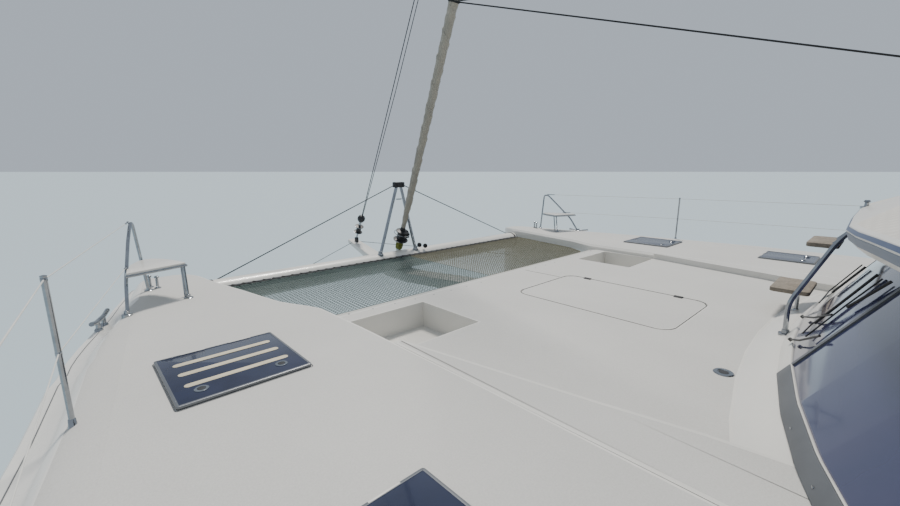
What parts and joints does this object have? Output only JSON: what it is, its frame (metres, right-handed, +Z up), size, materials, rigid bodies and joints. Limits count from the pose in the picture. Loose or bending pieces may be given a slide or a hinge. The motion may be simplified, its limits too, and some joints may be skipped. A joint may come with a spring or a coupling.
{
  "type": "sailing catamaran",
  "caption": "Cruising sailing catamaran with a raised saloon, foredeck nets, guardrails, furled headsail, stowed mainsail and stern steps.",
  "frame": {"origin": "amidships on the centreline at the waterline, on the mount water", "axes": "+X to port, +Y aft, +Z up the mast; the bows point along -Y"},
  "size_m": [7.6344, 14.11, 19.93],
  "materials": {
    "white_gelcoat": "moulded gelcoat, off-white, satin gloss",
    "deck_nonskid": "moulded non-skid gelcoat, light grey, matt",
    "stainless_tube": "polished stainless steel tube",
    "stainless_wire": "stranded stainless wire",
    "mast_alloy": "anodised aluminium extrusion",
    "navy_acrylic": "dark blue tinted acrylic in an alloy frame",
    "tinted_glass": "dark blue-grey tinted toughened glass",
    "cover_canvas": "woven acrylic canvas",
    "sailcloth": "woven polyester sailcloth, furled",
    "net_cord": "knotted polyester net",
    "weathered_teak": "grey weathered teak",
    "cast_bronze": "cast bronze",
    "black_fitting": "black anodised and moulded fittings",
    "painted_alloy_grey": "grey painted cast alloy",
    "engine_paint": "grey engine enamel"
  },
  "bodies": {
    "boat": {"port_hull": "white_gelcoat", "starboard_hull": "white_gelcoat", "port_keel": "white_gelcoat", "starboard_keel": "white_gelcoat", "port_net": "net_cord", "starboard_net": "net_cord", "port_pulpit": "stainless_tube", "starboard_pulpit": "stainless_tube", "port_guardrail": "stainless_tube", "starboard_guardrail": "stainless_tube", "port_shrouds": "stainless_wire", "starboard_shrouds": "stainless_wire", "port_drive_leg": "painted_alloy_grey", "starboard_drive_leg": "painted_alloy_grey", "port_engine": "engine_paint", "starboard_engine": "engine_paint", "bridgedeck": "deck_nonskid", "saloon_walls": "white_gelcoat", "windscreen": "tinted_glass", "port_side_window": "tinted_glass", "starboard_side_window": "tinted_glass", "roof": "white_gelcoat", "front_beam": "white_gelcoat", "longeron": "white_gelcoat", "striker": "stainless_tube", "mast": "mast_alloy", "furled_headsail": "sailcloth", "sprit_furler": "black_fitting", "cockpit_bench": "white_gelcoat", "helm_console": "white_gelcoat", "helm_seat": "white_gelcoat", "lower_roof_step": "weathered_teak", "upper_roof_step": "weathered_teak", "roof_handrail": "stainless_tube"},
    "port_rudder": {"port_rudder": "white_gelcoat"},
    "starboard_rudder": {"starboard_rudder": "white_gelcoat"},
    "steering_wheel": {"steering_wheel": "stainless_tube"},
    "port_propeller": {"port_propeller": "cast_bronze"},
    "starboard_propeller": {"starboard_propeller": "cast_bronze"},
    "boom": {"boom": "mast_alloy", "stowed_mainsail": "cover_canvas"},
    "locker_lid": {"locker_lid": "deck_nonskid"},
    "port_forward_hatch": {"port_forward_hatch": "navy_acrylic"},
    "port_aft_hatch": {"port_aft_hatch": "navy_acrylic"},
    "starboard_forward_hatch": {"starboard_forward_hatch": "navy_acrylic"},
    "starboard_aft_hatch": {"starboard_aft_hatch": "navy_acrylic"},
    "port_engine_lid": {"port_engine_lid": "white_gelcoat"},
    "starboard_engine_lid": {"starboard_engine_lid": "white_gelcoat"},
    "saloon_door": {"saloon_door": "tinted_glass"}
  },
  "joints": [
    {"name": "port_rudder_turn", "type": "hinge", "parent": "boat", "child": "port_rudder", "pos_m": [2.75, 5.85, -0.2], "axis": [0, 0, 1], "range_deg": [-35, 35]},
    {"name": "starboard_rudder_turn", "type": "hinge", "parent": "boat", "child": "starboard_rudder", "pos_m": [-2.75, 5.85, -0.2], "axis": [0, 0, 1], "range_deg": [-35, 35]},
    {"name": "wheel_turn", "type": "hinge", "parent": "boat", "child": "steering_wheel", "pos_m": [-1.48, 2.86, 1.85], "axis": [0, -1, 0], "range_deg": [-420, 420]},
    {"name": "port_propeller_spin", "type": "hinge", "parent": "boat", "child": "port_propeller", "pos_m": [2.75, 3.585, -0.92], "axis": [0, 1, 0], "continuous": true},
    {"name": "starboard_propeller_spin", "type": "hinge", "parent": "boat", "child": "starboard_propeller", "pos_m": [-2.75, 3.585, -0.92], "axis": [0, 1, 0], "continuous": true},
    {"name": "boom_swing", "type": "hinge", "parent": "boat", "child": "boom", "pos_m": [0, -0.555, 3.35], "axis": [0, 0, 1], "range_deg": [-60, 60]},
    {"name": "locker_lid_hinge", "type": "hinge", "parent": "boat", "child": "locker_lid", "pos_m": [-0.453, -3.2315, 1.585], "axis": [0, -1, 0], "range_deg": [0, 85]},
    {"name": "port_forward_hatch_hinge", "type": "hinge", "parent": "boat", "child": "port_forward_hatch", "pos_m": [2.789, -4.23, 1.668], "axis": [1, 0, 0], "range_deg": [0, 85]},
    {"name": "port_aft_hatch_hinge", "type": "hinge", "parent": "boat", "child": "port_aft_hatch", "pos_m": [2.82, -2.652, 1.668], "axis": [1, 0, 0], "range_deg": [0, 85]},
    {"name": "starboard_forward_hatch_hinge", "type": "hinge", "parent": "boat", "child": "starboard_forward_hatch", "pos_m": [-2.789, -4.23, 1.668], "axis": [1, 0, 0], "range_deg": [0, 85]},
    {"name": "starboard_aft_hatch_hinge", "type": "hinge", "parent": "boat", "child": "starboard_aft_hatch", "pos_m": [-2.82, -2.652, 1.668], "axis": [1, 0, 0], "range_deg": [0, 85]},
    {"name": "port_engine_lid_hinge", "type": "hinge", "parent": "boat", "child": "port_engine_lid", "pos_m": [2.75, 3.755, 1.684], "axis": [1, 0, 0], "range_deg": [0, 80]},
    {"name": "starboard_engine_lid_hinge", "type": "hinge", "parent": "boat", "child": "starboard_engine_lid", "pos_m": [-2.75, 3.755, 1.684], "axis": [1, 0, 0], "range_deg": [0, 80]},
    {"name": "saloon_door_slide", "type": "slide", "parent": "boat", "child": "saloon_door", "axis": [1, 0, 0], "range_m": [0, 1.15]}
  ],
  "couplings": [
    {"joint": "starboard_rudder_turn", "follows": "port_rudder_turn", "ratio": 1},
    {"joint": "wheel_turn", "follows": "port_rudder_turn", "ratio": 12}
  ]
}
